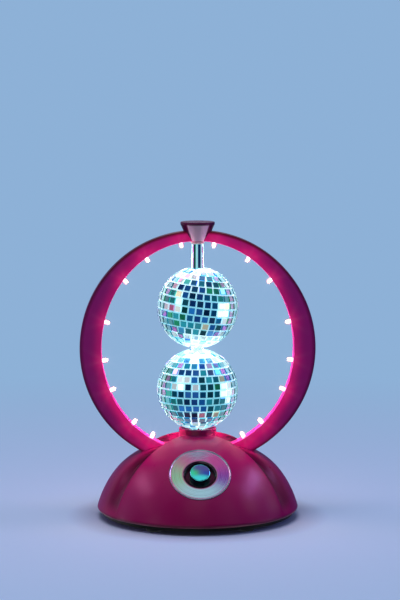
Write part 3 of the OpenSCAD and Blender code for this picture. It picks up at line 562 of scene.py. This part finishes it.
# Where the painted reflection lies: front and rear faces, below the rim
store(finial, "painted_reflection_face",
      even(np.abs(y) / (np.hypot(x, y) + 0.01), 0.74, 0.80) * even(-z, -275.9, -275.1))
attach(finial, "lamp")
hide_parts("finial")

# Bearings
# Grey acetal bushes: one held between the ring's halves at the top, one pressed into the collar's cup.
acetal, _, _ = plastic("grey_acetal", (0.42, 0.43, 0.46), (0.30, 0.31, 0.34), gloss=0.32)
dress(acetal, "top_bush", "collar_bush")

# Front plate
# A thin aluminium disc spun on a lathe, so fine rings run round it; its edge is rolled up into a lip,
# and it lies in the dome's seat.
HOLE_R, PLATE_R = 15.45, 28.5
spun, tree, shader = coating("spun_aluminium", Metallic=1.0, Anisotropic=0.6)
around = put(tree, "ShaderNodeUVMap", uv_map="lathe")
radius = put(tree, "ShaderNodeSeparateXYZ", {0: around.outputs[0]}).outputs["Y"]
rings = put(tree, "ShaderNodeTexNoise", {"W": radius, "Scale": 14.0, "Detail": 5.0, "Roughness": 0.75},
            noise_dimensions="1D").outputs["Fac"]
sheen = ramp(tree, rings, [(0.3, (0.54, 0.53, 0.58)), (0.6, (0.90, 0.88, 0.93))])
lip = scaled(tree, radius, 2.70, 2.76, 0.0, 0.8)
cone = maths(tree, "MULTIPLY_ADD", radius, -24.0, rings)
groove = put(tree, "ShaderNodeBump", {"Height": cone, "Distance": 0.00004})
grain = put(tree, "ShaderNodeTangent", direction_type="UV_MAP", uv_map="lathe")
feed(shader, Base_Color=blend(tree, lip, sheen, (0.34, 0.28, 0.40, 1)),
     Roughness=scaled(tree, rings, 0.3, 0.7, 0.05, 0.17), Normal=groove.outputs[0], Tangent=grain.outputs[0])


def lathe_map(piece, axis):
    """UV map of a turned piece: u is the share of a turn about its axis and v the distance from it in
    centimetres. Every face takes its turns from its first corner on, so none wraps round."""
    mesh = piece.data
    which = np.zeros(len(mesh.loops), np.int32)
    mesh.loops.foreach_get("vertex_index", which)
    rel = points_of(piece)[which] - axis[0]
    x, y = rel @ axis[1], rel @ axis[2]
    turn = np.arctan2(y, x) / (2 * np.pi)
    first = np.zeros(len(mesh.polygons), np.int32)
    mesh.polygons.foreach_get("loop_start", first)
    total = np.zeros(len(mesh.polygons), np.int32)
    mesh.polygons.foreach_get("loop_total", total)
    lead = np.repeat(turn[first], total)
    turn = turn + np.round(lead - turn)
    uv = np.stack([turn, np.hypot(x, y) / 10], 1)
    mesh.uv_layers.new(name="lathe").data.foreach_set("uv", uv.astype(np.float32).ravel())


plate_face = np.linspace(16.2, 26.9, 14)
plate = sheet("front_plate_skin", turned(np.concatenate([
    [(HOLE_R, -PLATE_T), (HOLE_R, -0.35), (15.6, -0.08)], np.stack([plate_face, 0 * plate_face], 1),
    [(27.15, 0.06), (27.4, 0.28), (27.6, 0.48)], rounded(28.05, 0.22, 0.42, 130, 0, 7),
    [(PLATE_R, -PLATE_T)]]), 160, plate_axis), spun)
lathe_map(plate, plate_axis)
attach(plate, "lamp")
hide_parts("front_plate")

# Button in its well
# A push cap in blue-green chrome on a stem, in a black moulded cup that snaps through the plate; the
# switch is behind it.
CAP_R, CAP_EDGE, CAP_FOOT, STEM_R, STEM_FOOT = 9.3, 1.0, -5.6, 2.5, -12.6
blued, _, _ = metal("button_chrome", (0.15, 0.92, 0.86), gloss=0.10, bump=0.000002)
crown = np.linspace(8.0, 0, 14)
cap = sheet("button_skin", turned(np.concatenate([
    [(0, STEM_FOOT), (STEM_R, STEM_FOOT), (STEM_R, CAP_FOOT), (CAP_R, CAP_FOOT), (CAP_R, 2.5)],
    rounded(CAP_R - CAP_EDGE, 2.5, CAP_EDGE, 0, 80, 8),
    np.stack([crown, 4.0 - 0.5 * (crown / 8) ** 2], 1)]), 96, plate_axis), blued, close_v=False)
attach(cap, "button")
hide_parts("push_button")
well_black, _, _ = plastic("well_black", (0.05, 0.004, 0.018), (0.03, 0.004, 0.014), gloss=0.12)
dress(well_black, "button_bezel")
dress(black, "switch_body")

# Drive
# Moulded acetal gears between two grey plates, turned by a small canned motor; all of it is
# inside the dome.
grey, _, _ = plastic("grey_plastic", (0.20, 0.21, 0.23), (0.13, 0.14, 0.15), gloss=0.4)
nylon, _, _ = plastic("gear_nylon", (0.78, 0.76, 0.68), (0.66, 0.63, 0.54), gloss=0.38)
can, _, _ = metal("motor_can", (0.55, 0.54, 0.52), gloss=0.28, stretch=(1, 1, 0.1))
steel, _, _ = metal("ground_steel", (0.60, 0.60, 0.62), gloss=0.16, stretch=(1, 1, 0.15))
dress(grey, "gear_frame", "gear_lid")
dress(nylon, "motor_pinion", "idler_gear", "spindle_gear")
dress(can, "motor")
dress(steel, "idler_pin", "spindle")

# Tubes on the spindle
# Chromed tubes slid over the rod: the long one shows between the upper ball and the ring, with a painted
# pale glow and less metal at its sides, and a white spacer keeps the balls apart.
neck_white, _, _ = plastic("neck_white", (0.86, 0.90, 0.94), (0.70, 0.80, 0.86), gloss=0.25)
chrome, tree, shader = metal("chrome", (0.44, 0.90, 0.98), gloss=0.05, bump=0.000002,
                             Specular_IOR_Level=0.1, Emission_Strength=1.0)
# Painted glow: less metal and a pale teal glow where the tube is seen edge on
pale = scaled(tree, facing(tree), 0.35, 0.7, 0.0, 0.8, "SMOOTHSTEP")
feed(shader, Metallic=maths(tree, "SUBTRACT", 1.0, pale),
     Emission_Color=blend(tree, pale, (0, 0, 0, 1), (0.22, 0.55, 0.66, 1)))
dress(chrome, "upper_sleeve", "lower_sleeve")
dress(neck_white, "neck_spacer")

# Mirror balls
# Hollow moulded balls with small square mirrors glued on in level rows and pale grout between them.
# The upper ball sits seven degrees over.
BALL_R, CORE_R, TUBE_SEAT_R = 38.0, 36.5, 6.0
TILE, TILE_FACE, LEAST_PITCH = 5.6, 5.0, 5.85
ROW_STEPS = 17
CORNERS = 12
# From navy to pale teal, then white, rose, straw and lilac; partly the tiles' own tints and partly painted
# reflections and glints
TILE_TINTS_AND_REFLECTIONS = np.array([
    (0.004, 0.07, 0.19), (0.006, 0.09, 0.34), (0.006, 0.16, 0.52), (0.01, 0.27, 0.56), (0.01, 0.20, 0.26),
    (0.02, 0.42, 0.52), (0.01, 0.34, 0.16), (0.03, 0.46, 0.40), (0.20, 0.62, 0.72),
    (0.90, 1.0, 1.0), (0.75, 0.18, 0.40), (1.0, 0.92, 0.62), (0.20, 0.30, 0.62)])
PALE_TEAL, WHITE, STRAW = 8, 9, 11

grout, tree, shader = plastic("pale_grout", (0.84, 0.93, 0.97), (0.62, 0.80, 0.88), cloud=0.6, gloss=0.4,
                              bump=0.0001, Emission_Strength=1.0)
# Painted glow: the grout glows dim teal at the sides and white towards the poles
where = put(tree, "ShaderNodeTexCoord")
upward = put(tree, "ShaderNodeSeparateXYZ", {0: where.outputs["Normal"]})
feed(shader, Emission_Color=ramp(tree, maths(tree, "ABSOLUTE", upward.outputs["Z"]),
                                 [(0.3, (0.15, 0.44, 0.54)), (0.9, (0.95, 1.0, 1.0))]))
dress(grout, "lower_ball", "upper_ball")

# Mirror glass: each tile's tint with its painted reflection and glow; where it is seen edge on it is less
# mirror-like, with a painted pale sheen and a little painted glow
mirror, tree, shader = coating("mirror_glass", Coat_Weight=0.3, Coat_Roughness=0.02, Emission_Strength=1.0)
tint = put(tree, "ShaderNodeAttribute", attribute_name="tile_tint_and_painted_light")
graze = scaled(tree, facing(tree), 0.22, 0.64, 0.0, 0.88, "SMOOTHSTEP")
tint_with_edge_sheen = blend(tree, graze, tint.outputs["Color"], (0.34, 0.76, 0.82, 1))
gleam = maths(tree, "MULTIPLY_ADD", graze, 0.4, tint.outputs["Alpha"])
lit = put(tree, "ShaderNodeVectorMath", {0: tint_with_edge_sheen, "Scale": gleam}, operation="SCALE")
feed(shader, Base_Color=tint_with_edge_sheen, Emission_Color=lit.outputs[0],
     Roughness=scaled(tree, noise(tree, place(tree), 300.0, 4.0), 0.4, 0.8, 0.03, 0.16),
     Metallic=maths(tree, "MULTIPLY_ADD", graze, -0.95, 1.0))


def tile_frames(tilt, shift):
    """Middle direction and the two edge directions of every tile: 15 rows 10.6 degrees apart, each with as
    many tiles as fit round it, in line at the front but for a small hand-laid shift, all turned over by
    the tilt. Tiles that would touch the tube or spacer are left out."""
    row = np.arange(1, ROW_STEPS - 1)
    lat = np.radians((row - 8) * 180 / ROW_STEPS)
    inner = CORE_R * np.cos(lat) - TILE / 2 * np.sin(np.abs(lat))
    count = np.minimum(np.round(2 * ROW_STEPS * np.cos(lat)),
                       np.floor(2 * np.pi * inner / LEAST_PITCH)).astype(int)
    lat = np.repeat(lat, count)
    first = np.repeat(np.cumsum(count) - count, count)
    step = np.arange(len(lat)) - first + shift + np.repeat(0.12 * np.sin(np.radians(137 * row)), count)
    a = -np.pi / 2 + step * 2 * np.pi / np.repeat(count, count)
    out = np.stack([np.cos(lat) * np.cos(a), np.cos(lat) * np.sin(a), np.sin(lat)], 1)
    e1 = np.stack([-np.sin(a), np.cos(a), 0 * a], 1)
    e2 = np.stack([-np.sin(lat) * np.cos(a), -np.sin(lat) * np.sin(a), np.cos(lat)], 1)
    c, s = np.cos(np.radians(tilt)), np.sin(np.radians(tilt))
    lean = np.array([[c, 0, s], [0, 1, 0], [-s, 0, c]])
    out, e1, e2 = out @ lean.T, e1 @ lean.T, e2 @ lean.T
    keep = BALL_R * np.hypot(out[:, 0], out[:, 1]) > TUBE_SEAT_R + 0.75 * TILE
    return out[keep], e1[keep], e2[keep]


def tile_points(out, e1, e2, lean):
    """Twelve corners of every tile: a square 5.6 mm wide from 36.5 to 37.75 mm from the ball's middle, then
    a face drawn in by 0.3 mm at 38 mm. All but the foot leans over by two small angles."""
    square = np.array([(-1, -1), (1, -1), (1, 1), (-1, 1)], float)
    uv = np.concatenate([square * TILE / 2, square * TILE / 2, square * TILE_FACE / 2])
    h = np.repeat([CORE_R, BALL_R - 0.25, BALL_R], 4)
    rise = (uv[None] * lean[:, None]).sum(-1) * (h > CORE_R)[None]
    return (out[:, None] * (h[None] + rise)[..., None] + e1[:, None] * uv[None, :, :1]
            + e2[:, None] * uv[None, :, 1:])


def tiles(name, height, tilt, shift, seed, toward, glint):
    """Bevelled square mirrors that lean by about a degree. A tile's tint, partly its own colour and partly a
    painted reflection of the room, runs through a list from navy to pale by two waves over the ball and chance;
    it pales and glows with painted light towards the pole that faces the other ball, and a little less at the
    other pole. One tile in sixteen stands out in white, rose, straw or lilac, and five patches round the ball,
    the first at the bearing glint, carry painted glints and go white."""
    out, e1, e2 = tile_frames(tilt, shift)
    chance = np.random.default_rng(seed)
    n = len(out)
    p = tile_points(out, e1, e2, np.radians(chance.normal(0, 1.1, (n, 2)))) + np.array([0, 0, height])
    k = np.arange(4)
    wall = np.stack([k, (k + 1) % 4, (k + 1) % 4 + 4, k + 4], 1)
    one = np.concatenate([[[3, 2, 1, 0]], wall, wall + 4, [[8, 9, 10, 11]]])
    faces = (np.arange(n)[:, None, None] * CORNERS + one[None]).reshape(-1, 4)
    piece = solid(name, p.reshape(-1, 3), faces, mirror, crease=10)

    # Two waves over the ball paint reflections of the room into the tiles' tints
    ways = chance.normal(0, 1, (2, 3))
    ways = ways / np.linalg.norm(ways, axis=1)[:, None]
    swell = np.sin(out @ ways.T * np.array([4.5, 7.0]) + chance.uniform(0, 6, 2))
    field = 0.44 + swell @ np.array([0.22, 0.16]) + chance.normal(0, 0.11, n)
    which = (field.clip(0, 0.99) * WHITE).astype(int)
    odd = chance.random(n) < 1 / 16
    which = np.where(odd, chance.integers(WHITE, len(TILE_TINTS_AND_REFLECTIONS), n), which)
    # Painted light: tiles towards the poles go pale and glow
    high = np.where(out[:, 2] * toward > 0, 1.0, 0.9) * np.abs(out[:, 2])
    pole_painted_light = chance.random(n) < 0.75 * even(high, 0.45, 0.85)
    which = np.where(pole_painted_light, np.where(chance.random(n) < 0.7, WHITE, PALE_TEAL), which)
    glow = 0.12 + 0.73 * even(high, 0.55, 0.95)
    shade = chance.uniform(0.85, 1.05, (n, 1))

    # Painted glints: five patches round the ball go white and glow
    k = np.arange(5)
    aside = (np.degrees(np.arctan2(out[:, :1], -out[:, 1:2])) - glint - 72 * k + 180) % 360 - 180
    above = np.degrees(np.arcsin(out[:, 2:])) - 15 * np.sin(2 * k + 1)
    spark = np.exp(-(aside / 10) ** 2 - (above / 15) ** 2).max(1)
    bright = chance.random(n) < 1.3 * spark
    which = np.where(bright, chance.choice([WHITE, WHITE, WHITE, STRAW, PALE_TEAL], n), which)
    glow = np.where(bright, np.maximum(glow, 0.3 + 0.5 * spark), glow)
    color = np.concatenate([TILE_TINTS_AND_REFLECTIONS[which] * shade, glow[:, None]], 1).clip(0, 1)
    paint = piece.data.attributes.new("tile_tint_and_painted_light", "FLOAT_COLOR", "POINT")
    paint.data.foreach_set("color", np.repeat(color, CORNERS, 0).astype(np.float32).ravel())
    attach(piece, "rotor")
    return piece


lower = tiles("lower_mirrors", height=120.4, tilt=0, shift=0.5, seed=19, toward=1, glint=-25)
upper = tiles("upper_mirrors", height=197.6, tilt=7, shift=0, seed=70, toward=-1, glint=-32)
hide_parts("lower_tiles")
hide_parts("upper_tiles")

# Power
# Three dry cells in plain sleeves with nickel contacts, and a small driver board, all under the
# floor's cover.
sleeve, _, _ = plastic("cell_sleeve", (0.05, 0.22, 0.13), (0.03, 0.14, 0.09), gloss=0.28)
nickel, _, _ = metal("nickel", (0.66, 0.62, 0.55), gloss=0.22)
resin, _, _ = plastic("board_resin", (0.02, 0.16, 0.06), (0.01, 0.09, 0.04), gloss=0.35)
dress(sleeve, "batteries")
dress(nickel, "battery_contacts")
dress(resin, "circuit_board")

# Studio
# A plain pale floor, clear from below, with a painted shadow under and round the lamp, that runs out into a
# plain pale surround, dim soft boxes, and a dark room with bright openings that only the mirrors and the
# chrome see.
PALE = (0.27, 0.44, 0.68)
SHADE = tuple(0.45 * c for c in PALE)
BLACK = (0, 0, 0)
FLOOR_R, FLOOR_SIDES = 1.3, 96
LIGHTS_AIM = Vector((0, 0, 0.15))
floor_mat, tree, shader = coating("studio_floor", Roughness=0.8, Specular_IOR_Level=0.0, Emission_Strength=1.0)
reach = put(tree, "ShaderNodeVectorMath", {0: place(tree)}, operation="LENGTH").outputs["Value"]
# Painted shadow: the floor's glow is near black under the lamp and dim round it, then runs out to pale
feed(shader, Base_Color=ramp(tree, reach, [(0.12, (0.50, 0.58, 0.72)), (1.0, BLACK), (0.9, BLACK)]),
     Emission_Color=ramp(tree, reach, [(0.088, (0.003, 0.002, 0.004)), (1.0, PALE), (0.125, SHADE),
                                       (0.9, PALE)]))
clear = put(tree, "ShaderNodeBsdfTransparent")
under = put(tree, "ShaderNodeNewGeometry")
one_sided = put(tree, "ShaderNodeMixShader",
                {0: under.outputs["Backfacing"], 1: shader.outputs[0], 2: clear.outputs[0]})
feed(tree.nodes["Material Output"], Surface=one_sided.outputs[0])
a = np.linspace(0, 2 * np.pi, FLOOR_SIDES, endpoint=False)
mesh = bpy.data.meshes.new("studio_floor")
mesh.from_pydata(np.stack([FLOOR_R * np.cos(a), FLOOR_R * np.sin(a), 0 * a], 1).tolist(), [],
                 [list(range(FLOOR_SIDES))])
mesh.materials.append(floor_mat)
ground = bpy.data.objects.new("studio_floor", mesh)
scene.collection.objects.link(ground)
ground.visible_diffuse = ground.visible_glossy = False


def softbox(name, at, size, power, color, mirrored=False):
    """Area light that faces the lamp's middle; a mirrored one is seen in reflections only, the others never."""
    light = bpy.data.lights.new(name, "AREA")
    light.shape, light.size, light.size_y = "RECTANGLE", size[0], size[1]
    light.energy, light.color = power, color
    lamp = bpy.data.objects.new(name, light)
    lamp.location = at
    lamp.rotation_euler = (LIGHTS_AIM - Vector(at)).to_track_quat("-Z", "Y").to_euler()
    lamp.visible_glossy, lamp.visible_diffuse = mirrored, not mirrored
    scene.collection.objects.link(lamp)


softbox("top_box", (-0.25, -0.45, 2.3), (1.3, 1.0), 21, (0.90, 0.80, 1.0))
softbox("left_sheen", (-1.45, 0.15, 1.3), (1.0, 0.3), 6, (1.0, 0.40, 0.75), mirrored=True)
softbox("right_sheen", (1.45, 0.15, 1.3), (1.2, 0.3), 10, (0.66, 0.34, 1.0), mirrored=True)
softbox("left_box", (-1.7, 0.3, 0.5), (0.4, 1.0), 6, (0.60, 0.40, 1.0))
softbox("right_box", (1.7, 0.0, 0.6), (0.4, 1.0), 7, (0.24, 0.28, 1.0))

# Room round the lamp: upright openings near eye level, patches above and below, and a ceiling that
# colours the front plate
world = bpy.data.worlds.new("studio")
scene.world = world
world.use_nodes = True
tree = world.node_tree
tree.nodes.clear()
way = put(tree, "ShaderNodeTexCoord").outputs["Generated"]
axes = put(tree, "ShaderNodeSeparateXYZ", {0: way}).outputs
heading = maths(tree, "ARCTAN2", axes["X"], maths(tree, "MULTIPLY", axes["Y"], -1.0))
walls = ramp(tree, scaled(tree, heading, -np.pi, np.pi), [
    (0.0, (0.16, 0.12, 0.42)), (1.0, (0.16, 0.12, 0.42)), (0.1, (0.3, 0.3, 0.7)), (0.16, (1, 1, 1)),
    (0.25, (1, 1, 1)), (0.28, (0.01, 0.06, 0.05)), (0.385, (0.01, 0.08, 0.07)), (0.41, (0.8, 0.98, 1)),
    (0.495, (0.8, 0.98, 1)), (0.525, (0.01, 0.02, 0.10)), (0.655, (0.01, 0.03, 0.12)),
    (0.675, (0.85, 0.92, 1)), (0.75, (0.85, 0.92, 1)), (0.77, (0.02, 0.03, 0.10))])
panes = put(tree, "ShaderNodeTexVoronoi", {"Vector": way, "Scale": 4.0})
lot = put(tree, "ShaderNodeSeparateXYZ", {0: panes.outputs["Color"]})
patches = ramp(tree, lot.outputs["X"], [
    (0.0, (0.05, 0.08, 0.15)), (1.0, (1.5, 1.55, 1.6)), (0.4, (0.16, 0.22, 0.32)), (0.7, (0.42, 0.50, 0.60)),
    (0.88, (0.9, 0.95, 1))])
level = maths(tree, "ABSOLUTE", maths(tree, "ADD", axes["Z"], 0.06))
room = blend(tree, scaled(tree, level, 0.16, 0.26, kind="SMOOTHSTEP"), walls, patches)
overhead = ramp(tree, scaled(tree, axes["X"], -0.3, 0.3), [
    (0.0, (0.06, 0.66, 0.46)), (1.0, (0.16, 0.04, 0.42)), (0.25, (0.24, 0.76, 0.50)),
    (0.40, (0.56, 0.54, 0.20)), (0.55, (0.56, 0.15, 0.42)), (0.78, (0.22, 0.06, 0.46))])
near = scaled(tree, axes["Y"], -0.15, -0.27, kind="SMOOTHSTEP")
far = scaled(tree, axes["Y"], -0.11, 0.02, kind="SMOOTHSTEP")
aside = scaled(tree, axes["X"], -0.2, -0.05, kind="SMOOTHSTEP")
back_pink = blend(tree, maths(tree, "MULTIPLY", far, aside), overhead, (0.62, 0.10, 0.36, 1))
ceiling = blend(tree, near, back_pink, (0.44, 0.80, 0.90, 1))
cover = blend(tree, scaled(tree, axes["Z"], 0.72, 0.9, kind="SMOOTHSTEP"), room, ceiling)
seen = put(tree, "ShaderNodeLightPath").outputs
power = scaled(tree, seen["Is Glossy Ray"], 0.0, 1.0, 0.16, 0.8)
inside = put(tree, "ShaderNodeBackground", {0: cover, 1: power})
plain = put(tree, "ShaderNodeBackground", {0: (*PALE, 1), 1: 1.0})
both = put(tree, "ShaderNodeMixShader", {0: seen["Is Camera Ray"], 1: inside.outputs[0], 2: plain.outputs[0]})
put(tree, "ShaderNodeOutputWorld", {0: both.outputs[0]})

# Short star-shaped glints that a lens makes round the lamps
scene.use_nodes = True
tree = scene.node_tree
tree.nodes.clear()
picture = put(tree, "CompositorNodeRLayers")
glint = put(tree, "CompositorNodeGlare",
            {"Image": picture.outputs["Image"], "Threshold": 1.5, "Strength": 0.28, "Streaks": 8,
             "Streaks Angle": 0.3, "Iterations": 3, "Fade": 0.76}, glare_type="STREAKS")
put(tree, "CompositorNodeComposite", {"Image": glint.outputs["Image"]})
